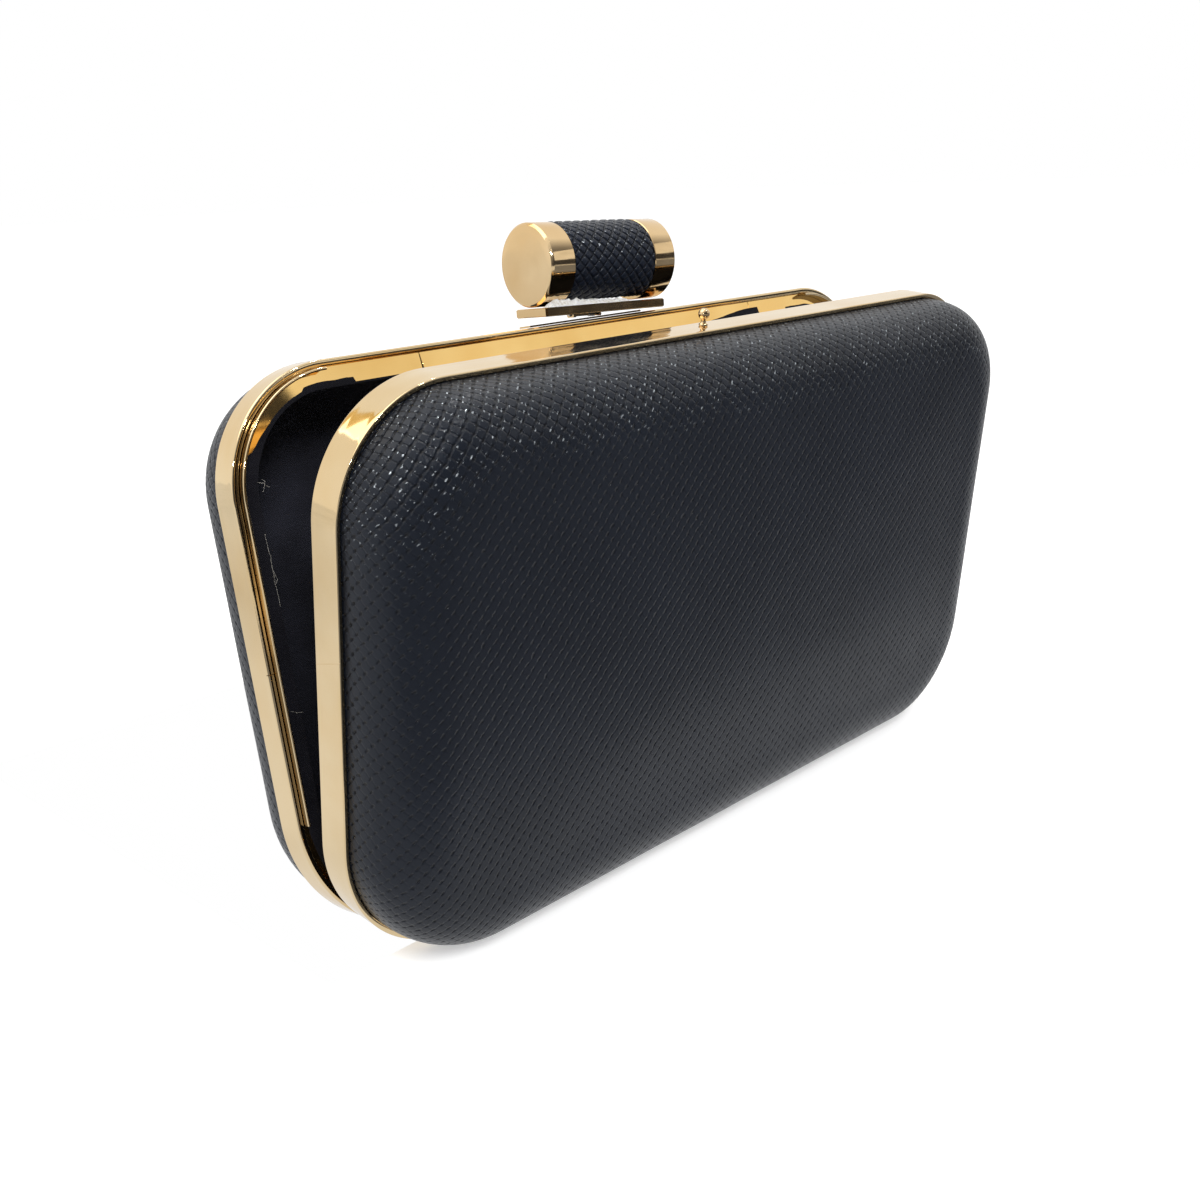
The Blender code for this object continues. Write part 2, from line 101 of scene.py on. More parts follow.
# The stage, in metres. The floor is left open behind the case (left, right, near, far), where
# the back half swings down at the hinge's wide limit.
WELL = (-0.0915, 0.0915, -0.004, 0.14)
FLOOR_REACH, FLOOR_GLOW = 6.0, 0.47
MIRRORED_LEVEL, FLAG_LEVEL = -0.001, 0.002
FLAG_OUTLINE = ((-0.6, -0.07), (0.1, -0.055), (2.5, -0.08), (2.5, -2.5), (-0.6, -2.5))
MIRRORED_GLOW, FLAG_GLOW = (0.92, 0.93, 0.95), (0.25, 0.26, 0.29)
WARM_GLOW, PLAIN_GLOW = (0.95, 0.72, 0.32), (1.0, 0.99, 0.97)
CARD_DISTANCE, CARD_AIM = 1.1, 0.06

# The lights, in metres and watts. Each glint is (azimuth, elevation) in degrees, a metre away.
KEY_PLACE, KEY_AIM, KEY_SIZE, KEY_POWER = (-0.35, 0.25, 0.9), (0.0, 0.0, 0.05), 0.8, 3.4
FILL_PLACE, FILL_SIZE, FILL_POWER = (-0.42, -0.76, 0.8), 0.4, 12.0
GLINTS = ((-58.0, 62.0), (-108.0, 42.0), (-152.0, 30.0), (24.0, 64.0))
GLINT_SIZE, GLINT_POWER = 0.05, 0.8
LIGHT_AIM = (0.0, 0.0, 0.07)
# The room is dim low down in front, and brightens along this direction
ROOM_UP_AND_BACK = (0.0, 0.78, 0.62)
ROOM_TONES = ((0.30, (0.05, 0.05, 0.055)), (0.44, (0.30, 0.30, 0.31)), (0.62, (1.0, 1.0, 1.0)))

# The camera: place in metres, turn in degrees, lens and sensor in millimetres
CAMERA_PLACE = (-0.20583, -0.18571, 0.13206)
CAMERA_TURN = (72.750, 2.375, -46.108)
CAMERA_LENS, CAMERA_SENSOR, CAMERA_NEAR = 41.681, 36.0, 0.01

# Vector noise starts from the clock unless it is seeded
NOISE_SEED = 7

# Stray threads: their radius, and their paths on the back half, in its own millimetres
THREAD_R = 0.04
THREADS = (
    ((-84.9, 0.3, 84.0), (-83.9, 0.4, 83.7), (-83.2, 0.3, 82.9), (-82.6, 0.6, 82.8)),
    ((-84.2, 0.3, 82.3), (-83.6, 0.5, 83.1), (-83.4, 0.4, 83.9), (-84.0, 0.3, 84.3)),
    ((-85.4, 0.28, 75.4), (-85.2, 0.24, 71.5), (-85.3, 0.24, 67.5), (-85.1, 0.3, 63.0)),
    ((-85.3, 0.28, 70.0), (-85.0, 0.3, 68.4), (-84.6, 0.4, 67.6), (-84.9, 0.5, 66.9)),
    ((-86.9, 0.28, 45.1), (-86.0, 0.24, 44.6), (-85.2, 0.3, 44.3), (-84.6, 0.5, 44.3)),
)

HINGE = Matrix.Translation((0.0, HINGE_Y, HINGE_Z))
FRONT = HINGE @ Matrix.Rotation(math.radians(FRONT_LEAN), 4, "X")
BACK = HINGE @ Matrix.Rotation(math.radians(-BACK_LEAN), 4, "X")
CLASP = (
    BACK
    @ Matrix.Translation((CLASP_X, CLASP_Y, TOP_Z + CLASP_UP))
    @ Matrix.Rotation(math.radians(CLASP_YAW), 4, "Z")
    @ Matrix.Rotation(math.radians(CLASP_TILT), 4, "Y")
    @ Matrix.Rotation(math.radians(CLASP_PITCH), 4, "X")
)
KNOB = CLASP @ Matrix.Translation((PLATE_SHIFT, 0.0, KNOB_UP))


class Half:
    """One half of the case: its side of the seam (-1 or 1), its sizes and where it stands."""

    def __init__(self, name, side, band, flange, dish, edge, matrix, seed):
        self.name, self.side, self.matrix, self.seed = name, side, matrix, seed
        self.band, self.flange, self.dish, self.edge = band, flange, dish, edge
        self.body = name + "_half"


FRONT_HALF = Half("front", -1, FRONT_BAND, FRONT_FLANGE, 0.0, FRONT_SHELL_EDGE, FRONT, 1.0)
BACK_HALF = Half("back", 1, BACK_BAND, BACK_FLANGE, DISH, BACK_SHELL_EDGE, BACK, 5.0)


# ---------------------------------------------------------------- node helpers


class Nodes:
    """A thin wrapper that builds a material's node tree."""

    def __init__(self, name):
        self.mat = bpy.data.materials.new(name)
        self.mat.use_nodes = True
        self.tree = self.mat.node_tree
        self.shader = self.tree.nodes["Principled BSDF"]

    def new(self, kind, **settings):
        node = self.tree.nodes.new(kind)
        for key, value in settings.items():
            setattr(node, key, value)
        return node

    def link(self, out, into):
        self.tree.links.new(out, into)

    def feed(self, value, socket):
        if isinstance(value, bpy.types.NodeSocket):
            self.link(value, socket)
        else:
            socket.default_value = value

    def math(self, operation, *values, clamp=False):
        node = self.new("ShaderNodeMath", operation=operation, use_clamp=clamp)
        for i, value in enumerate(values):
            self.feed(value, node.inputs[i])
        return node.outputs[0]

    def vector(self, operation, *values):
        node = self.new("ShaderNodeVectorMath", operation=operation)
        for i, value in enumerate(values):
            is_scale = operation == "SCALE" and i == 1
            self.feed(value, node.inputs["Scale" if is_scale else i])
        return node.outputs["Value" if operation == "DOT_PRODUCT" else "Vector"]

    def attribute(self, name):
        return self.new("ShaderNodeAttribute", attribute_name=name).outputs["Vector"]

    def amount(self, name):
        return self.new("ShaderNodeAttribute", attribute_name=name).outputs["Fac"]

    def object_space(self):
        return self.new("ShaderNodeTexCoord").outputs["Object"]

    def noise(self, vector, scale, detail=2.0, roughness=0.5):
        node = self.new("ShaderNodeTexNoise")
        self.link(vector, node.inputs["Vector"])
        node.inputs["Scale"].default_value = scale
        node.inputs["Detail"].default_value = detail
        node.inputs["Roughness"].default_value = roughness
        return node

    def span(self, value, low, high, to_low, to_high, smooth=False):
        node = self.new("ShaderNodeMapRange")
        node.interpolation_type = "SMOOTHSTEP" if smooth else "LINEAR"
        self.link(value, node.inputs["Value"])
        ends = {"From Min": low, "From Max": high, "To Min": to_low, "To Max": to_high}
        for key, number in ends.items():
            node.inputs[key].default_value = number
        return node.outputs["Result"]

    def ramp(self, value, stops):
        node = self.new("ShaderNodeValToRGB")
        self.link(value, node.inputs["Fac"])
        elements = node.color_ramp.elements
        while len(elements) < len(stops):
            elements.new(0.5)
        for element, (place, color) in zip(elements, stops):
            element.position = place
            element.color = (*color, 1.0)
        return node.outputs["Color"]

    def mix(self, share, first, second):
        node = self.new("ShaderNodeMix", data_type="RGBA")
        self.feed(share, node.inputs["Factor"])
        self.feed(first, node.inputs[6])
        self.feed(second, node.inputs[7])
        return node.outputs[2]

    def bump(self, height, distance, strength=1.0):
        node = self.new("ShaderNodeBump")
        node.inputs["Distance"].default_value = distance
        node.inputs["Strength"].default_value = strength
        self.link(height, node.inputs["Height"])
        return node.outputs["Normal"]

    def set(self, **values):
        for key, value in values.items():
            self.feed(value, self.shader.inputs[key.replace("_", " ")])
        return self


def gold_material(name, base, rough, scratch=1.0):
    """Polished plated metal: faint tone drift, handling haze and hairline scratches."""
    n = Nodes(name)
    where = n.object_space()
    drift = n.noise(where, 60.0, 3.0).outputs["Fac"]
    deep = tuple(c * k for c, k in zip(base, (0.93, 0.86, 0.74)))
    color = n.ramp(drift, ((0.3, deep), (0.62, base)))
    haze = n.noise(where, 240.0, 4.0, 0.62).outputs["Fac"]
    roughness = n.span(haze, 0.35, 0.75, rough * 0.7, rough * 1.9)
    stretched = n.vector("MULTIPLY", where, (260.0, 2400.0, 2400.0))
    lines = n.noise(stretched, 1.0, 2.0, 0.7).outputs["Fac"]
    ripple = n.noise(where, 110.0, 1.0).outputs["Fac"]
    height = n.math("ADD", n.math("MULTIPLY", lines, 0.03 * scratch), ripple)
    n.set(Base_Color=color, Metallic=1.0, Roughness=roughness, Normal=n.bump(height, 0.00012, 0.55))
    return n.mat


def emboss_height(n, sheet, polish, families, wandering, pits, hatch):
    """Staggered short pits where two families of diagonal grooves cross.

    Gives the height, how far a place lies in a pit, and a mask for painted glints: bright flecks on
    crests of the top bends.
    """
    scaled = n.vector("SCALE", sheet, 1000.0)
    wander = n.noise(scaled, 0.5, 2.0)
    centred = n.vector("SUBTRACT", wander.outputs["Color"], (0.5, 0.5, 0.5))
    shift = n.vector("SCALE", centred, wandering)
    place = n.vector("ADD", scaled, shift)
    saws = []
    for direction in families:
        phase = n.vector("DOT_PRODUCT", place, (*direction, 0.0))
        saws.append(n.math("MULTIPLY", n.math("PINGPONG", phase, 0.5), 2.0))
    groove = n.span(saws[0], 0.0, 0.40, 1.0, 0.0, smooth=True)
    cross = n.span(saws[1], 0.0, 0.34, 1.0, 0.0, smooth=True)
    window = n.span(saws[1], 0.1, 0.75, 1.0, 0.0, smooth=True)
    uneven = n.noise(scaled, 0.9, 2.0).outputs["Fac"]
    pit = n.math("MULTIPLY", n.math("MULTIPLY", groove, window), n.math("ADD", uneven, 0.35))
    reach = n.math("MULTIPLY_ADD", polish, 0.35, hatch)
    lines = n.math("MULTIPLY", n.math("MAXIMUM", groove, cross), reach)
    rising = n.span(saws[0], 0.40, 0.50, 0.0, 1.0)
    falling = n.span(saws[0], 0.62, 0.72, 1.0, 0.0)
    shoulder = n.math("MULTIPLY", rising, falling)
    speckle = n.span(n.noise(scaled, 1.1, 3.0, 0.7).outputs["Fac"], 0.555, 0.64, 0.0, 1.0)
    strip = n.math("MULTIPLY", shoulder, window)
    painted_glint = n.math("MULTIPLY", strip, n.math("MULTIPLY", speckle, polish))
    sunk = n.math("ADD", n.math("MULTIPLY", pit, pits), lines)
    return n.math("SUBTRACT", 1.0, sunk), pit, painted_glint


def leather_material(name, depth, low, high, families, wandering, pits, hatch):
    """Blue-black coated leather: cross-hatch emboss, pore grain, painted shade in the pits and
    painted glints on crests of the top bends.
    """
    n = Nodes(name)
    sheet = n.attribute("sheet")
    polish = n.amount("polish")
    height, pit, painted_glint = emboss_height(n, sheet, polish, families, wandering, pits, hatch)
    grain = n.noise(n.vector("SCALE", sheet, 1000.0), 6.0, 3.0, 0.6).outputs["Fac"]
    full = n.math("MULTIPLY_ADD", grain, 0.12, height)
    tone = n.noise(sheet, 40.0, 3.0).outputs["Fac"]
    # The pits and grooves are painted darker, a painted shade, mixed with random tone
    pit_shade_and_tone = n.math("MULTIPLY_ADD", height, 0.5, n.math("MULTIPLY", tone, 0.5))
    color = n.ramp(pit_shade_and_tone, ((0.15, low), (0.85, high)))
    worn = n.noise(sheet, 140.0, 3.0, 0.65).outputs["Fac"]
    gloss = n.math("MULTIPLY_ADD", worn, 0.25, n.math("MULTIPLY", pit, -0.45))
    roughness = n.span(gloss, -0.35, 0.2, 0.75, 0.30)
    roughness = n.math("MULTIPLY_ADD", painted_glint, -0.2, roughness, clamp=True)
    relief = n.bump(full, depth)
    # Painted glints: pale metallic flecks on crests of the top bends stand in for lamp reflections
    n.set(Base_Color=n.mix(painted_glint, color, PAINTED_GLINT), Metallic=painted_glint, Roughness=roughness)
    n.set(Normal=relief, Coat_Normal=relief)
    n.shader.inputs["IOR"].default_value = 1.45
    n.shader.inputs["Specular IOR Level"].default_value = 0.20
    n.shader.inputs["Specular Tint"].default_value = (0.88, 0.92, 1.0, 1.0)
    n.shader.inputs["Coat Weight"].default_value = 0.20
    n.shader.inputs["Coat Roughness"].default_value = 0.11
    n.shader.inputs["Coat IOR"].default_value = 1.5
    return n.mat


def lining_material(name, low, high):
    """Matt black fabric: a fine plain weave with slubs and a soft sheen."""
    n = Nodes(name)
    scaled = n.vector("SCALE", n.attribute("sheet"), 1000.0)
    split = n.new("ShaderNodeSeparateXYZ")
    n.link(scaled, split.inputs[0])
    warp = n.math("SINE", n.math("MULTIPLY", split.outputs[0], 14.0))
    weft = n.math("SINE", n.math("MULTIPLY", split.outputs[1], 14.0))
    weave = n.math("MULTIPLY", warp, weft)
    slub = n.noise(n.vector("MULTIPLY", scaled, (0.15, 2.4, 1.0)), 1.0, 3.0).outputs["Fac"]
    height = n.math("MULTIPLY_ADD", weave, 0.35, slub)
    mottled = n.noise(scaled, 0.09, 3.0).outputs["Fac"]
    color = n.ramp(n.math("MULTIPLY_ADD", weave, 0.12, mottled), ((0.3, low), (0.7, high)))
    roughness = n.span(slub, 0.3, 0.7, 0.72, 0.92)
    n.set(Base_Color=color, Roughness=roughness, Normal=n.bump(height, 0.00012))
    n.shader.inputs["Specular IOR Level"].default_value = 0.2
    n.shader.inputs["Sheen Weight"].default_value = 0.03
    n.shader.inputs["Sheen Roughness"].default_value = 0.5
    return n.mat


def board_material():
    """Grey-black moulded board with fibres."""
    n = Nodes("moulded_board")
    where = n.object_space()
    stretched = n.vector("MULTIPLY", where, (600.0, 2200.0, 900.0))
    fibre = n.noise(stretched, 1.0, 4.0, 0.65).outputs["Fac"]
    color = n.ramp(fibre, ((0.35, (0.028, 0.027, 0.026)), (0.7, (0.07, 0.068, 0.066))))
    roughness = n.span(fibre, 0.3, 0.7, 0.6, 0.85)
    n.set(Base_Color=color, Roughness=roughness, Normal=n.bump(fibre, 0.0001))
    return n.mat


def glue_material():
    """Dried hot glue with metal dust: pale, lumpy and a little glossy."""
    n = Nodes("dried_glue")
    where = n.object_space()
    lumps = n.noise(where, 1500.0, 4.0, 0.7).outputs["Fac"]
    flecks = n.noise(where, 5200.0, 2.0).outputs["Fac"]
    dusty, pale, white = (0.36, 0.29, 0.20), (0.80, 0.77, 0.71), (0.95, 0.945, 0.93)
    color = n.ramp(lumps, ((0.30, dusty), (0.40, pale), (0.56, white)))
    height = n.math("MULTIPLY_ADD", flecks, 0.3, lumps)
    roughness = n.span(flecks, 0.3, 0.7, 0.22, 0.5)
    n.set(Base_Color=color, Roughness=roughness, Normal=n.bump(height, 0.0006))
    n.shader.inputs["Subsurface Weight"].default_value = 0.08
    n.shader.inputs["Subsurface Radius"].default_value = (0.001, 0.0009, 0.0007)
    return n.mat


def steel_material():
    """Drawn wire: fine lines along its length."""
    n = Nodes("drawn_steel")
    where = n.object_space()
    stretched = n.vector("MULTIPLY", where, (300.0, 4000.0, 4000.0))
    lines = n.noise(stretched, 1.0, 3.0).outputs["Fac"]
    color = n.ramp(lines, ((0.3, (0.42, 0.42, 0.43)), (0.7, (0.62, 0.62, 0.63))))
    roughness = n.span(lines, 0.3, 0.7, 0.2, 0.4)
    n.set(Base_Color=color, Metallic=1.0, Roughness=roughness, Normal=n.bump(lines, 0.00005))
    return n.mat


def thread_material():
    """Grey-brown spun thread."""
    n = Nodes("loose_thread")
    twist = n.noise(n.object_space(), 4000.0, 2.0).outputs["Fac"]
    color = n.ramp(twist, ((0.3, (0.10, 0.095, 0.085)), (0.7, (0.30, 0.285, 0.26))))
    roughness = n.span(twist, 0.3, 0.7, 0.6, 0.9)
    n.set(Base_Color=color, Roughness=roughness, Normal=n.bump(twist, 0.00005))
    return n.mat


# ---------------------------------------------------------------- mesh helpers


def piece(name, bm, mat, body, matrix, stands_for=(), sharp=40.0, smooth=True):
    """Writes a bmesh in millimetres as a piece in the frame's metres, placed by a matrix."""
    bmesh.ops.recalc_face_normals(bm, faces=bm.faces[:])
    for v in bm.verts:
        v.co = (matrix @ v.co) * MM
    mesh = bpy.data.meshes.new(name)
    bm.to_mesh(mesh)
    bm.free()
    if mat is not None:
        mesh.materials.append(mat)
    if smooth:
        mesh.shade_smooth()
        mesh.set_sharp_from_angle(angle=math.radians(sharp))
    obj = bpy.data.objects.new(name, mesh)
    bpy.context.scene.collection.objects.link(obj)
    if body is not None:
        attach(obj, body)
        if stands_for:
            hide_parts(*stands_for)
    return obj


def bridge(bm, first, second, closed=True):
    """Joins two rows of as many points with quads."""
    n = len(first)
    for i in range(n if closed else n - 1):
        j = (i + 1) % n
        bm.faces.new((first[i], first[j], second[j], second[i]))


def outline(inset, corner=24, long=36, short=18):
    """Points of the case outline at an inset, each with its outward direction."""
    corners = (
        (1, 1, 0, TOP_RADIUS),
        (-1, 1, 90, TOP_RADIUS),
        (-1, -1, 180, BOTTOM_RADIUS),
        (1, -1, 270, BOTTOM_RADIUS),
    )
    points = []
    for side, level, start, radius in corners:
        cx = side * (CASE_W / 2 - radius)
        cz = TOP_Z - radius if level > 0 else radius - HINGE_UP
        for i in range(corner + 1):
            a = math.radians(start + 90.0 * i / corner)
            u = (math.cos(a), math.sin(a))
            points.append((cx + (radius - inset) * u[0], cz + (radius - inset) * u[1], u))
    full = []
    count = len(points)
    for i, (x, z, u) in enumerate(points):
        full.append((x, z, u))
        if (i + 1) % (corner + 1):
            continue
        nx, nz, _ = points[(i + 1) % count]
        steps = long if abs(u[1]) > 0.5 else short
        for k in range(1, steps):
            full.append((x + (nx - x) * k / steps, z + (nz - z) * k / steps, u))
    return full


def apply_boolean(obj, name, bm, matrix, operation):
    """Cuts a bmesh out of an object, or joins it on, and throws the tool away."""
    tool = piece(name, bm, None, None, matrix, smooth=False)
    mod = obj.modifiers.new("cut", "BOOLEAN")
    mod.operation = operation
    mod.solver = "EXACT"
    mod.object = tool
    with bpy.context.temp_override(object=obj, active_object=obj, selected_objects=[obj]):
        bpy.ops.object.modifier_apply(modifier=mod.name)
    bpy.data.objects.remove(tool, do_unlink=True)


def add_box(bm, low, high):
    """Adds a box between two corners."""
    verts = bmesh.ops.create_cube(bm, size=1.0)["verts"]
    low, high = Vector(low), Vector(high)
    for v in verts:
        v.co = Vector([low[i] + (v.co[i] + 0.5) * (high[i] - low[i]) for i in range(3)])
    return verts


def edges_of_box(bm, upright):
    """A box's upright edges, or its level ones."""
    return [e for e in bm.edges if (abs(e.verts[0].co.z - e.verts[1].co.z) > 0.1) == upright]


def ease(bm, edges, offset, segments):
    """Rounds edges over."""
    bmesh.ops.bevel(bm, geom=edges, offset=offset, segments=segments, affect="EDGES")


def turned(bm, profile, segments, axis="X"):
    """Turns a profile of (station, radius) round an axis into a closed solid."""
    loops = []
    for station, radius in profile:
        loop = []
        for i in range(segments):
            a = 2 * math.pi * i / segments
            u, v = radius * math.cos(a), radius * math.sin(a)
            loop.append(bm.verts.new((station, u, v) if axis == "X" else (u, v, station)))
        loops.append(loop)
    for near, far in zip(loops, loops[1:]):
        bridge(bm, near, far)
    bm.faces.new(loops[0])
    bm.faces.new(loops[-1])


def arc(cx, cy, radius, start, end, steps):
    """Points along an arc, from one angle to another in degrees."""
    return [
        (cx + radius * math.cos(math.radians(a)), cy + radius * math.sin(math.radians(a)))
        for a in (start + (end - start) * i / steps for i in range(steps + 1))
    ]


# ---------------------------------------------------------------- rims


def rim_section(band, flange, dish):
    """The rim's section as (inset, depth): crowned band, rolled seam edge, dished flange."""
    t0, r, roll = SEAM_CLEAR, 0.25, 0.45
    points = arc(roll, t0 + roll, roll, 180, 270, 7)
    points += arc(SHOULDER - 0.15, t0 + 0.15, 0.15, 270, 360, 3)
    points += [(SHOULDER, flange + dish), (FLANGE_W - 0.12, flange - 0.02)]
    points += [(FLANGE_W, flange + 0.12), (FLANGE_W, flange + FLANGE_THICK)]
    points += [(BAND_THICK, flange + FLANGE_THICK), (BAND_THICK, band - 0.1)]
    points += arc(r, band - r, r, 90, 180, 5)
    low, high = t0 + roll, band - r
    for i in range(1, 8):
        f = i / 8
        points.append((-0.05 * math.sin(math.pi * f) + 0.05, high + (low - high) * f))
    return points


def knuckle(bm, start, length, side):
    """A hinge knuckle along X: a bored barrel with a foot that reaches into its rim."""
    count = 40
    reach, top = 1.9, -0.7
    outer, inner = [], []
    for i in range(count):
        a = 2 * math.pi * i / count
        y, z = math.cos(a), math.sin(a)
        radius = KNUCKLE_R
        if KNUCKLE_R * z < top * 0.3 and y >= -1e-6:
            radius = min(reach / max(y, 1e-6), KNUCKLE_R / abs(z))
            radius = radius if radius * z <= top * 0.999 else KNUCKLE_R
        outer.append((side * radius * y, radius * z))
        inner.append((side * KNUCKLE_BORE * y, KNUCKLE_BORE * z))
    loops = []
    end = start + length
    for x, points in ((start, outer), (end, outer), (end, inner), (start, inner)):
        loops.append([bm.verts.new((x, y, z)) for y, z in points])
    for i, loop in enumerate(loops):
        bridge(bm, loop, loops[(i + 1) % 4])


def make_rim(case_half, mat, reflected_flange_mat, joints):
    """A rim with its hinge notch, butt joints and knuckles; joints are (low, high, slope) cuts."""
    side, flange, dish, matrix = case_half.side, case_half.flange, case_half.dish, case_half.matrix
    name, node = case_half.name + "_rim_fine", case_half.name + "_rim"
    bm = bmesh.new()
    rings = []
    for s, t in rim_section(case_half.band, flange, dish):
        rings.append([bm.verts.new((x, side * t, z)) for x, z, _ in outline(s, 40, 1, 1)])
    for i, ring in enumerate(rings):
        bridge(bm, ring, rings[(i + 1) % len(rings)])
    rim = piece(name, bm, mat, case_half.body, matrix, (node,), RIM_SHARP)
    bm = bmesh.new()
    ends = sorted((side * -1.0, side * NOTCH_DEPTH))
    add_box(bm, (-NOTCH_HALF, ends[0], -HINGE_UP - 1.0), (NOTCH_HALF, ends[1], 4.5))
    apply_boolean(rim, "notch", bm, matrix, "DIFFERENCE")
    bm = bmesh.new()
    for low, high, slope in joints:
        for v in add_box(bm, low, high):
            v.co.z -= slope * v.co.y
    apply_boolean(rim, "butt_joint", bm, matrix, "DIFFERENCE")
    bm = bmesh.new()
    half = CENTRE_KNUCKLE_L / 2
    for x in (-HINGE_X, HINGE_X):
        if side > 0:
            knuckle(bm, x - half, CENTRE_KNUCKLE_L, side)
        else:
            knuckle(bm, x - half - KNUCKLE_GAP - KNUCKLE_L, KNUCKLE_L, side)
            knuckle(bm, x + half + KNUCKLE_GAP, KNUCKLE_L, side)
    apply_boolean(rim, "knuckles", bm, matrix, "UNION")
    rim.data.set_sharp_from_angle(angle=math.radians(RIM_SHARP))
    # The seam-facing flange faces take the warmer gold: a painted warm reflection
    rim.data.materials.append(reflected_flange_mat)
    back_to_half = matrix.inverted()
    turn = back_to_half.to_3x3()
    for face in rim.data.polygons:
        middle = back_to_half @ (face.center / MM)
        facing = (turn @ face.normal).y * side
        if facing < -0.7 and flange - 0.1 < middle.y * side < flange + dish + 0.1:
            face.material_index = 1


# ---------------------------------------------------------------- shells


def dome_profile(offset, band, edge, steps=22):
    """Points (inset, depth, length back to the flat) down one surface, from its seam edge."""
    span = DOME_ROUND - COVER_INSET
    points = [(COVER_INSET + offset, edge), (COVER_INSET + offset, (edge + band) / 2)]
    for i in range(steps + 1):
        a = math.radians(90.0 * i / steps)
        c, s = max(math.cos(a), 1e-6), max(math.sin(a), 1e-6)
        inset = COVER_INSET + span * (1.0 - c**DOME_POWER)
        height = DOME_DEPTH * s**DOME_POWER
        across, rise = span * c ** (DOME_POWER - 1) * s, DOME_DEPTH * s ** (DOME_POWER - 1) * c
        along = Vector((across, rise)).normalized()
        points.append((inset + offset * along[1], band + height - offset * along[0]))
    lengths = [0.0]
    for a, b in zip(points[::-1], points[-2::-1]):
        lengths.append(lengths[-1] + math.hypot(a[0] - b[0], a[1] - b[1]))
    return [(s, t, length) for (s, t), length in zip(points, lengths[::-1])]


def glint_and_hatch_share(length, z):
    """How far the painted glints and deeper hatch grooves reach: the bends near the top get them
    most.
    """
    bend = min(1.0, max(0.0, length - 2.0) / 8.0)
    high = min(1.0, max(0.0, (z - GLINT_HATCH_FROM) / GLINT_HATCH_FADE))
    return bend * high * high * (3.0 - 2.0 * high)


def waviness(ripple, x, z, seed):
    """How far a hand-laid skin stands off its shape at a place."""
    return ripple * noise.noise(Vector((x * WAVE, z * WAVE, seed)))


def dome_surface(bm, layer, polish, offset, case_half, ripple, seed):
    """Adds one domed surface and returns its edge loop.

    layer stores where each point lay on the flat sheet, and the second layer how much painted glint
    and deeper hatch it gets.
    """
    side, band = case_half.side, case_half.band
    flat = outline(DOME_ROUND)
    middle = TOP_Z / 2 - HINGE_UP / 2
    rings = []
    for inset, depth, length in dome_profile(offset, band, case_half.edge):
        ring = []
        for (x, z, u), (fx, fz, _) in zip(outline(inset), flat):
            wave = waviness(ripple, x, z, seed) if depth > band + 1.0 else 0.0
            v = bm.verts.new((x, side * (depth + wave), z))
            v[layer] = (fx + u[0] * length, fz + u[1] * length, 0.0)
            # How much painted glint and deeper hatch this point of the bend gets
            v[polish] = glint_and_hatch_share(length, z)
            ring.append(v)
        rings.append(ring)
    top = band + DOME_DEPTH - offset
    for k in range(1, 12):
        scale = 1.0 - k / 12.0
        lift = CROWN * (1.0 - scale**2.2)
        ring = []
        for x, z, _ in flat:
            px, pz = x * scale, middle + (z - middle) * scale
            wave = waviness(ripple, px, pz, seed)
            v = bm.verts.new((px, side * (top + lift + wave), pz))
            v[layer] = (px, pz, 0.0)
            ring.append(v)
        rings.append(ring)
    for a, b in zip(rings, rings[1:]):
        bridge(bm, a, b)
    wave = waviness(ripple, 0.0, middle, seed)
    tip = bm.verts.new((0.0, side * (top + CROWN + wave), middle))
    tip[layer] = (0.0, middle, 0.0)
    last = rings[-1]
    for i, v in enumerate(last):
        bm.faces.new((v, last[(i + 1) % len(last)], tip))
    return rings[0]


def make_shell(case_half, kind, stands_for, offset, thickness, mat, slot, ripple=0.0, seed=0.0):
    """One layer of a half, between two domed surfaces."""
    bm = bmesh.new()
    layer = bm.verts.layers.float_vector.new("sheet")
    polish = bm.verts.layers.float.new("polish")
    outer = dome_surface(bm, layer, polish, offset, case_half, ripple, seed)
    inner = dome_surface(bm, layer, polish, offset + thickness, case_half, ripple, seed)
    bridge(bm, outer, inner)
    for v in bm.verts:
        v[layer] = Vector(v[layer]) * MM
    name, node = case_half.name + kind, case_half.name + stands_for
    piece(name, bm, mat, case_half.body, case_half.matrix, (node,), 60.0)


# ---------------------------------------------------------------- clasp and small parts


def knob_relief(x, y):
    """Depth of the crossed grooves pressed into the knob's leather, in millimetres."""
    depth = 0.0
    for u, v in KNOB_EMBOSS:
        phase = (u * x + v * y) % 1.0
        away = min(phase, 1.0 - phase) / KNOB_GROOVE_HALF
        depth = max(depth, max(0.0, 1.0 - away * away))
    return KNOB_GROOVE_DEPTH * depth


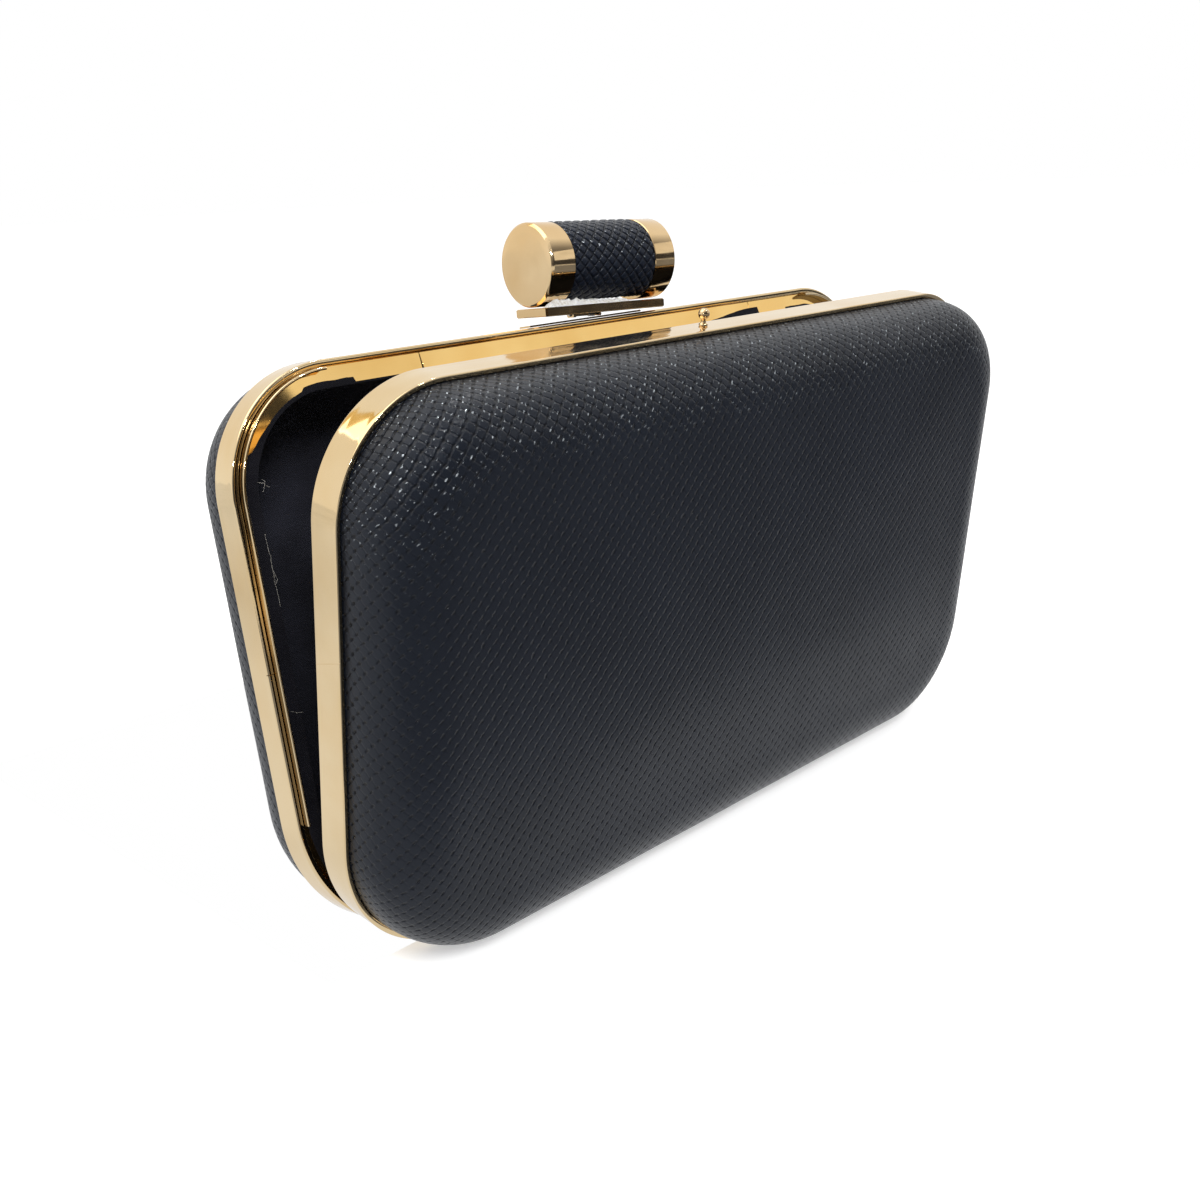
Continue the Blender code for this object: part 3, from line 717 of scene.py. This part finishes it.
def make_knob_wrap(mat):
    """The leather round the knob: an open tube, trimmed by hand, whose cut edges meet the plate."""
    bm = bmesh.new()
    layer = bm.verts.layers.float_vector.new("sheet")
    polish = bm.verts.layers.float.new("polish")
    across, round_ = 120, 250
    inner = CORE_R + 0.1
    half = WRAP_L / 2
    start, end = -64.0, 246.0
    grids = []
    for radius in (WRAP_R, inner):
        grid = []
        for j in range(round_ + 1):
            a = math.radians(start + (end - start) * j / round_)
            row = []
            for i in range(across + 1):
                f = 2.0 * i / across - 1.0
                ragged = 0.10 * noise.noise(Vector((f * 40.0, a * 9.0, 3.1)))
                x = f * half + (ragged if abs(f) > 0.999 else 0.0)
                edge = min(1.0, (1.0 - abs(f)) * 9.0)
                r = radius - 0.16 * (1.0 - edge) ** 2 if radius == WRAP_R else radius
                r += 0.03 * noise.noise(Vector((x * 0.4, a * 2.5, 7.7)))
                if radius == WRAP_R:
                    r -= knob_relief(x, a * WRAP_R)
                v = bm.verts.new((x, -r * math.cos(a), r * math.sin(a)))
                v[layer] = (x * MM, a * WRAP_R * MM, 0.0)
                # Painted glints and deeper hatch grooves round one angle of the knob
                off = (math.degrees(a) - KNOB_GLINT_HATCH_ANGLE) / KNOB_GLINT_HATCH_SPREAD
                v[polish] = max(0.0, 1.0 - off**2)
                row.append(v)
            grid.append(row)
        grids.append(grid)
    for grid in grids:
        for a, b in zip(grid, grid[1:]):
            bridge(bm, a, b, closed=False)
    outer, inside = grids
    bridge(bm, outer[0], inside[0], closed=False)
    bridge(bm, outer[-1], inside[-1], closed=False)
    for i in (0, across):
        bridge(bm, [row[i] for row in outer], [row[i] for row in inside], closed=False)
    piece("knob_leather", bm, mat, "clasp", KNOB, ("knob_wrap",), 50.0)


def make_cap(name, node, side, mat):
    """A drawn cap: flat face, small bevel with a bright line, straight skirt, blind inside."""
    half, wrap = KNOB_L / 2, WRAP_L / 2
    bm = bmesh.new()
    mouth = wrap + 0.12
    profile = [
        (half - 0.8, CORE_R + 0.1),
        (mouth, CORE_R + 0.1),
        (mouth, KNOB_R - 0.12),
        (mouth + 0.12, KNOB_R),
        (half - 0.62, KNOB_R),
        (half - 0.5, KNOB_R - 0.02),
        (half - 0.12, KNOB_R - 0.36),
        (half - 0.03, KNOB_R - 0.5),
        (half, KNOB_R - 0.75),
        (half, KNOB_R - 2.0),
    ]
    turned(bm, [(side * s, r) for s, r in profile], 128)
    piece(name, bm, mat, "clasp", KNOB, (node,), 25.0)


def make_ball(mat):
    """The turned stud on the front rim: a foot, a neck and a ball."""
    bm = bmesh.new()
    middle = 2.15
    foot = [(0.0, 0.8), (0.06, 0.86), (0.28, 0.86), (0.38, 0.78)]
    neck = [(0.5, 0.56), (0.62, 0.5), (1.15, 0.5), (1.27, 0.6)]
    profile = foot + neck
    for i in range(1, 17):
        a = math.radians(-56 + 144.0 * i / 16)
        profile.append((middle + BALL_R * math.sin(a), BALL_R * math.cos(a)))
    turned(bm, profile, 48, axis="Z")
    matrix = FRONT @ Matrix.Translation((BALL_X, BALL_Y, TOP_Z + 0.05))
    piece("ball_stud_fine", bm, mat, "front_half", matrix, ("ball_stud",))


def make_plate(mat):
    """The upper plate with eased edges, its pocket and its bored lug."""
    bm = bmesh.new()
    half, deep = PLATE_L / 2, PLATE_D / 2
    add_box(bm, (PLATE_SHIFT - half, -deep, 0.0), (PLATE_SHIFT + half, deep, PLATE_T))
    upright = edges_of_box(bm, True)
    right = [e for e in upright if e.verts[0].co.x > 0]
    left = [e for e in upright if e.verts[0].co.x < 0]
    ease(bm, right, 1.1, 8)
    ease(bm, [e for e in left if e.is_valid], 0.35, 4)
    ease(bm, edges_of_box(bm, False), 0.16, 3)
    stands_for = ("clasp_plate",)
    plate = piece(
        "clasp_plate_fine", bm, mat, "clasp", CLASP, stands_for, PLATE_SHARP
    )
    bm = bmesh.new()
    add_box(bm, (-4.5, -2.3, -1.0), (4.5, 2.3, 1.0))
    apply_boolean(plate, "pocket", bm, CLASP, "DIFFERENCE")
    bm = bmesh.new()
    add_box(bm, (-2.8, -0.8, -0.5), (0.5, 0.8, 1.3))
    apply_boolean(plate, "lug", bm, CLASP, "UNION")
    bm = bmesh.new()
    turned(bm, ((-3.2, 0.46), (0.9, 0.46)), 32)
    apply_boolean(plate, "bore", bm, CLASP, "DIFFERENCE")
    plate.data.set_sharp_from_angle(angle=math.radians(PLATE_SHARP))


def make_glue(mat):
    """A crumpled bead of glue along the plate's front, thicker to the left."""
    bm = bmesh.new()
    bmesh.ops.create_grid(bm, x_segments=170, y_segments=22, size=0.5)
    for v in bm.verts:
        f, g = v.co.x + 0.5, v.co.y + 0.5
        x = GLUE_LEFT + GLUE_L * f
        ends = min(1.0, 12.0 * f, 12.0 * (1.0 - f))
        body = (0.45 + 0.55 * max(0.0, 1.0 - f / 0.75)) * ends
        crumple = noise.fractal(Vector((x * 0.8, g * 2.2, 2.0)), 1.0, 2.0, 4)
        rise = GLUE_RISE * body * math.sin(math.pi * g) ** 0.6
        z = PLATE_T + 0.02 + max(0.0, rise * (1.0 + 0.55 * crumple))
        y = GLUE_FRONT + GLUE_DEEP * g + 0.22 * noise.noise(Vector((x * 1.1, g * 1.5, 5.0)))
        v.co = Vector((x, y, z if 0.0 < g < 1.0 and 0.0 < f < 1.0 else PLATE_T + 0.02))
    bmesh.ops.solidify(bm, geom=bm.faces[:], thickness=0.02)
    piece("glue_crumple", bm, mat, "clasp", CLASP, ("glue_bead",), 50.0)


def make_base(mat):
    """The thin plate fixed on the back rim's top, under the clasp."""
    low = TOP_Z + 0.1
    bm = bmesh.new()
    add_box(bm, (BASE_LEFT, BASE_FRONT, low), (BASE_RIGHT, BASE_BACK, low + BASE_THICK))
    ease(bm, edges_of_box(bm, True), 0.8, 6)
    ease(bm, edges_of_box(bm, False), 0.08, 2)
    stands_for = ("clasp_base",)
    piece("clasp_base_fine", bm, mat, "back_half", BACK, stands_for, PLATE_SHARP)


def make_lip(name, node, side, mat):
    """A guide lip with a rounded nose, swept round a top corner and down the side."""
    near, far = LIP_INSET, LIP_INSET + LIP_THICK
    front, back = -LIP_RISE, BACK_FLANGE + 0.35
    nose = arc((near + far) / 2, front + LIP_THICK / 2, LIP_THICK / 2, 180, 360, 8)
    section = [*nose, (far, back), (near, back)]
    bm = bmesh.new()
    loops = []
    corner = 28
    for inset, y in section:
        ring = outline(inset, corner, 1, 1)
        start = 0 if side > 0 else corner + 1
        run = [(x, z) for x, z, _ in ring[start : start + corner + 1]]
        if side > 0:
            run.reverse()
        run.append((run[-1][0], BOTTOM_RADIUS - HINGE_UP))
        loops.append([bm.verts.new((x, y, z)) for x, z in run])
    for i in range(len(loops)):
        bridge(bm, loops[i], loops[(i + 1) % len(loops)], closed=False)
    bm.faces.new([loop[0] for loop in loops])
    bm.faces.new([loop[-1] for loop in loops])
    piece(name, bm, mat, "back_half", BACK, (node,), 35.0)


def make_bar(mat):
    """The bar that completes the back flange, dished to match it, its ends cut a little askew."""
    bm = bmesh.new()
    low, high = TOP_Z - FLANGE_W, TOP_Z - SHOULDER - 0.06
    back = BACK_FLANGE + FLANGE_THICK
    add_box(bm, (LOCK_LEFT + 0.12, BACK_FLANGE, low), (LOCK_RIGHT - 0.12, back, high))
    for v in bm.verts:
        if v.co.y < BACK_FLANGE + 0.1 and v.co.z > low + 1.0:
            v.co.y += DISH
        if v.co.z < low + 1.0:
            v.co.x += 0.35
    ease(bm, bm.edges[:], 0.07, 3)
    piece("lock_bar_fine", bm, mat, "back_half", BACK, ("lock_bar",), 35.0)


def lining_reach(x, z):
    """How far in from the outline the lining's glued edge starts, at a place on the flange."""
    coarse = 0.13 * noise.noise(Vector((x * 0.35, z * 0.35, 4.0)))
    fine = 0.05 * noise.noise(Vector((x, z, 9.0)) * 2.0)
    height = min(1.0, max(0.0, (z - 84.0) / 13.0))
    reach = LINING_LOW + (LINING_HIGH - LINING_LOW) * height * height * (3.0 - 2.0 * height)
    if z > 90.0:
        if -62.2 < x < 33.0:
            reach = 4.62
        elif 33.0 <= x < 52.0:
            reach = 4.4 - 1.6 * min(1.0, (x - 33.0) / 14.0)
        elif x >= 52.0:
            reach = 4.6 if x < 62.0 else reach
        elif x < -74.0:
            reach += 0.45
    if z < 30.0:
        reach = 2.4
    return reach + (coarse + fine)


def make_lining_edge(case_half, mat):
    """The lining's raw edge, turned over the flange and glued down: a thin ragged strip."""
    bm = bmesh.new()
    layer = bm.verts.layers.float_vector.new("sheet")
    rings = []
    end = FLANGE_W + 0.25
    over = [(FLANGE_W - 0.1, 0.09), (end, 0.03), (end, -0.95), (end - 0.09, -0.95)]
    for x, z, u in outline(0.0, 40, 420, 160):
        start = lining_reach(x, z)
        row = []
        for s, lift in [(start, -0.01), (start, 0.07), *over]:
            share = (s - SHOULDER) / (FLANGE_W - SHOULDER)
            t = case_half.flange + case_half.dish * max(0.0, 1.0 - share) - lift
            v = bm.verts.new((x - s * u[0], case_half.side * t, z - s * u[1]))
            v[layer] = ((x - s * u[0]) * MM, (z - s * u[1]) * MM, 0.0)
            row.append(v)
        rings.append(row)
    for i, row in enumerate(rings):
        bridge(bm, row, rings[(i + 1) % len(rings)])
    name = case_half.name + "_lining_edge"
    piece(name, bm, mat, case_half.body, case_half.matrix, (), 45.0)


def make_threads(mat):
    """Stray threads from the lining's cut edge, caught in the glue along the back flange."""
    bm = bmesh.new()
    for path in THREADS:
        points = [Vector((x, y, z)) for x, y, z in path]
        fine = []
        for a, b in zip(points, points[1:]):
            for k in range(6):
                p = a.lerp(b, k / 6)
                fine.append(p + Vector(noise.noise_vector(p * 1.7)) * 0.14)
        fine.append(points[-1])
        loops = []
        for i, p in enumerate(fine):
            along = (fine[min(i + 1, len(fine) - 1)] - fine[max(i - 1, 0)]).normalized()
            across = along.cross(Vector((0.0, 1.0, 0.0))).normalized()
            up = across.cross(along)
            turns = [math.radians(60.0 * k) for k in range(6)]
            ways = [across * math.cos(t) + up * math.sin(t) for t in turns]
            loops.append([bm.verts.new(p + way * THREAD_R) for way in ways])
        for a, b in zip(loops, loops[1:]):
            bridge(bm, a, b)
        bm.faces.new(loops[0])
        bm.faces.new(loops[-1])
    piece("lining_threads", bm, mat, "back_half", BACK, (), 60.0)


def give(node, mat):
    """A carried-over CAD node gets a procedural material."""
    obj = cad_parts[node]
    for slot in obj.material_slots:
        slot.material = mat
    if not obj.material_slots:
        obj.data.materials.append(mat)


# ---------------------------------------------------------------- stage


def stage_sheet(name, corners, mat, shown=True, mirrored=True):
    """A flat stage piece; one that isn't shown only appears in reflections."""
    bm = bmesh.new()
    bm.faces.new([bm.verts.new(c) for c in corners])
    mesh = bpy.data.meshes.new(name)
    bm.to_mesh(mesh)
    bm.free()
    mesh.materials.append(mat)
    obj = bpy.data.objects.new(name, mesh)
    obj.visible_camera = shown
    obj.visible_glossy = mirrored
    bpy.context.scene.collection.objects.link(obj)
    return obj


def unlit_sheet(name, corners, mat):
    """A sheet that only mirror-like reflections see: it neither lights nor shades anything."""
    obj = stage_sheet(name, corners, mat, False)
    obj.visible_diffuse = False
    obj.visible_shadow = False


def glow_material(name, color):
    """A softly mottled glowing card."""
    n = Nodes(name)
    mottle = n.noise(n.object_space(), 6.0, 2.0).outputs["Fac"]
    dim = tuple(c * 0.8 for c in color)
    glow = n.ramp(mottle, ((0.3, dim), (0.7, color)))
    n.set(Base_Color=(0.0, 0.0, 0.0, 1.0), Emission_Color=glow, Emission_Strength=1.0)
    n.shader.inputs["Specular IOR Level"].default_value = 0.0
    return n.mat


def direction(azimuth, elevation):
    """The way out from the case at an azimuth from +X and an elevation, in degrees."""
    a, e = math.radians(azimuth), math.radians(elevation)
    return Vector((math.cos(a) * math.cos(e), math.sin(a) * math.cos(e), math.sin(e)))


def standing_card(name, azimuth, elevation, width, height, mat):
    """A card that faces the case from a direction; the camera doesn't see it."""
    out = direction(azimuth, elevation)
    across = direction(azimuth + 90.0, 0.0)
    up = out.cross(across)
    middle = out * CARD_DISTANCE + Vector((0.0, 0.0, CARD_AIM))
    corners = []
    for i, j in ((-1, -1), (1, -1), (1, 1), (-1, 1)):
        corners.append(middle + across * (i * width / 2) + up * (j * height / 2))
    stage_sheet(name, corners, mat, False)


def make_stage():
    """A plain white floor with an opening, and what the gold and leather reflect instead of it."""
    n = Nodes("stage_white")
    grain = n.noise(n.object_space(), 2.0, 2.0).outputs["Fac"]
    tone = n.ramp(grain, ((0.0, (0.68, 0.68, 0.68)), (1.0, (0.72, 0.72, 0.72))))
    n.set(Base_Color=tone, Roughness=0.8)
    n.shader.inputs["Emission Color"].default_value = (1.0, 1.0, 1.0, 1.0)
    n.shader.inputs["Emission Strength"].default_value = FLOOR_GLOW
    n.shader.inputs["Specular IOR Level"].default_value = 0.0
    far = FLOOR_REACH
    left, right, near, back = WELL
    strips = {
        "floor_front": (-far, -far, far, near),
        "floor_back": (-far, back, far, far),
        "floor_left": (-far, near, left, back),
        "floor_right": (right, near, far, back),
    }
    for name, (x0, y0, x1, y1) in strips.items():
        corners = ((x0, y0, 0.0), (x1, y0, 0.0), (x1, y1, 0.0), (x0, y1, 0.0))
        stage_sheet(name, corners, n.mat, mirrored=False)
    whole = ((-far, -far), (far, -far), (far, far), (-far, far))
    sheen = glow_material("mirrored_floor", MIRRORED_GLOW)
    unlit_sheet("floor_mirrored", [(x, y, MIRRORED_LEVEL) for x, y in whole], sheen)
    dim = glow_material("dim_floor", FLAG_GLOW)
    unlit_sheet("flag_floor", [(x, y, FLAG_LEVEL) for x, y in FLAG_OUTLINE], dim)
    warm = glow_material("warm_wall", WARM_GLOW)
    plain = glow_material("plain_wall", PLAIN_GLOW)
    standing_card("wall_front_right", -44.0, 22.0, 0.80, 0.36, plain)
    standing_card("warm_back_left", 122.0, 48.0, 0.5, 0.35, warm)


def area_light(name, location, target, size, power):
    """A white rectangular lamp, turned to face a target."""
    data = bpy.data.lights.new(name, "AREA")
    data.shape = "RECTANGLE"
    data.size = data.size_y = size
    data.energy = power
    obj = bpy.data.objects.new(name, data)
    obj.location = location
    aim = Vector(target) - Vector(location)
    obj.rotation_euler = aim.to_track_quat("-Z", "Y").to_euler()
    bpy.context.scene.collection.objects.link(obj)
    return obj


def make_lights():
    """A white room, dim low down in front, a key light, a fill and small lamps for glints.

    The fill lights surfaces but shows in no reflection. The small lamps only show in reflections.
    """
    world = bpy.data.worlds.new("studio")
    bpy.context.scene.world = world
    world.use_nodes = True
    tree = world.node_tree
    background = tree.nodes["Background"]
    coords = tree.nodes.new("ShaderNodeTexCoord")
    along = tree.nodes.new("ShaderNodeVectorMath")
    along.operation = "DOT_PRODUCT"
    along.inputs[1].default_value = ROOM_UP_AND_BACK
    tree.links.new(coords.outputs["Generated"], along.inputs[0])
    ramp = tree.nodes.new("ShaderNodeValToRGB")
    span = tree.nodes.new("ShaderNodeMapRange")
    span.inputs["From Min"].default_value = -1.0
    tree.links.new(along.outputs["Value"], span.inputs["Value"])
    tree.links.new(span.outputs["Result"], ramp.inputs["Fac"])
    elements = ramp.color_ramp.elements
    elements.new(0.5)
    for element, (place, color) in zip(elements, ROOM_TONES):
        element.position = place
        element.color = (*color, 1.0)
    path = tree.nodes.new("ShaderNodeLightPath")
    mix = tree.nodes.new("ShaderNodeMix")
    mix.data_type = "RGBA"
    tree.links.new(path.outputs["Is Camera Ray"], mix.inputs["Factor"])
    tree.links.new(ramp.outputs["Color"], mix.inputs[6])
    mix.inputs[7].default_value = (1.0, 1.0, 1.0, 1.0)
    tree.links.new(mix.outputs[2], background.inputs["Color"])
    background.inputs["Strength"].default_value = 1.0
    area_light("key", KEY_PLACE, KEY_AIM, KEY_SIZE, KEY_POWER)
    fill = area_light("fill", FILL_PLACE, LIGHT_AIM, FILL_SIZE, FILL_POWER)
    fill.visible_glossy = False
    for i, (azimuth, elevation) in enumerate(GLINTS):
        place = direction(azimuth, elevation)
        lamp = area_light("lamp_%d" % i, place, LIGHT_AIM, GLINT_SIZE, GLINT_POWER)
        lamp.visible_diffuse = False


def make_camera():
    """The photograph's viewpoint."""
    data = bpy.data.cameras.new("camera")
    data.lens = CAMERA_LENS
    data.sensor_width = CAMERA_SENSOR
    data.clip_start = CAMERA_NEAR
    obj = bpy.data.objects.new("camera", data)
    obj.location = CAMERA_PLACE
    obj.rotation_euler = [math.radians(a) for a in CAMERA_TURN]
    bpy.context.scene.collection.objects.link(obj)
    bpy.context.scene.camera = obj


# ---------------------------------------------------------------- build


def make_layers(case_half, leather, board, lining):
    """A half's three layers, from the outside in: leather, moulded core and lining."""
    seed = case_half.seed
    core = COVER_THICK + LAYER_GAP
    inner = core + CORE_THICK + LAYER_GAP
    skin = (leather, "black_leather", 0.14, seed)
    make_shell(case_half, "_leather", "_cover", 0.0, COVER_THICK, *skin)
    hard = (board, "moulded_core")
    make_shell(case_half, "_board", "_shell", core + 0.1, CORE_THICK - 0.2, *hard)
    cloth = (lining, "black_lining", 0.1, seed + 2)
    make_shell(case_half, "_fabric", "_lining", inner, LINING_THICK, *cloth)


def main():
    noise.seed_set(NOISE_SEED)
    view = bpy.context.scene.view_settings
    view.view_transform = "Standard"
    view.look = "None"
    make_camera()
    rim_gold = gold_material("rim_polished", RIM_GOLD, RIM_ROUGH)
    # The flange's warmer gold is a painted warm reflection
    reflected_flange_gold = gold_material("flange_painted_reflection", FLANGE_REFLECTION_GOLD, RIM_ROUGH)
    clasp_gold = gold_material("clasp_polished", CLASP_GOLD, CLASP_ROUGH, CLASP_SCRATCH)
    case_look = (0.00022, LEATHER_DARK, LEATHER_LIGHT, EMBOSS, 0.9, 1.0, 0.12)
    leather = leather_material("case_leather", *case_look)
    knob_look = (0.00020, LEATHER_DARK, KNOB_LEATHER_LIGHT, KNOB_EMBOSS, 0.0, 0.2, 0.6)
    knob_leather = leather_material("knob_leather", *knob_look)
    lining = lining_material("lining_fabric", FABRIC_DARK, FABRIC_LIGHT)
    # The raw edge's darker copy of the lining cloth is painted shade
    shaded_raw_edge = lining_material("lining_edge_painted_shade", SHADED_EDGE_DARK, SHADED_EDGE_LIGHT)
    board = board_material()
    steel = steel_material()

    left = -CASE_W / 2
    front_joints = [
        ((left - 1.0, -FRONT_BAND - 1.0, BUTT_LOW), (left + 0.12, 1.0, BUTT_LOW + BUTT_WIDE), 0.35)
    ]
    back_joints = [
        ((left - 1.0, -1.0, 52.2), (left + FLANGE_W, BACK_FLANGE + 0.2, 52.34), 0.0),
        ((LOCK_LEFT, 0.2, TOP_Z - 5.2), (LOCK_RIGHT, 1.5, TOP_Z - SHOULDER - 0.02), 0.0),
    ]
    make_rim(FRONT_HALF, rim_gold, reflected_flange_gold, front_joints)
    make_rim(BACK_HALF, rim_gold, reflected_flange_gold, back_joints)
    make_lining_edge(FRONT_HALF, shaded_raw_edge)
    make_lining_edge(BACK_HALF, shaded_raw_edge)
    for case_half in (FRONT_HALF, BACK_HALF):
        make_layers(case_half, leather, board, lining)
    make_lip("guide_lip_left_fine", "guide_lip_left", -1, rim_gold)
    make_lip("guide_lip_right_fine", "guide_lip_right", 1, rim_gold)
    # The lock bar takes the flange's gold with its painted warm reflection
    make_bar(reflected_flange_gold)
    make_threads(thread_material())
    make_base(clasp_gold)
    make_ball(clasp_gold)
    make_plate(clasp_gold)
    make_knob_wrap(knob_leather)
    make_cap("cap_left_fine", "knob_cap_left", -1, clasp_gold)
    make_cap("cap_right_fine", "knob_cap_right", 1, clasp_gold)
    make_glue(glue_material())
    give("knob_core", board)
    for node in ("hinge_pin_left", "hinge_pin_right", "clasp_pin", "clasp_spring"):
        give(node, steel)
    for node in ("clasp_ear_left", "clasp_ear_right"):
        give(node, clasp_gold)
    make_stage()
    make_lights()


main()
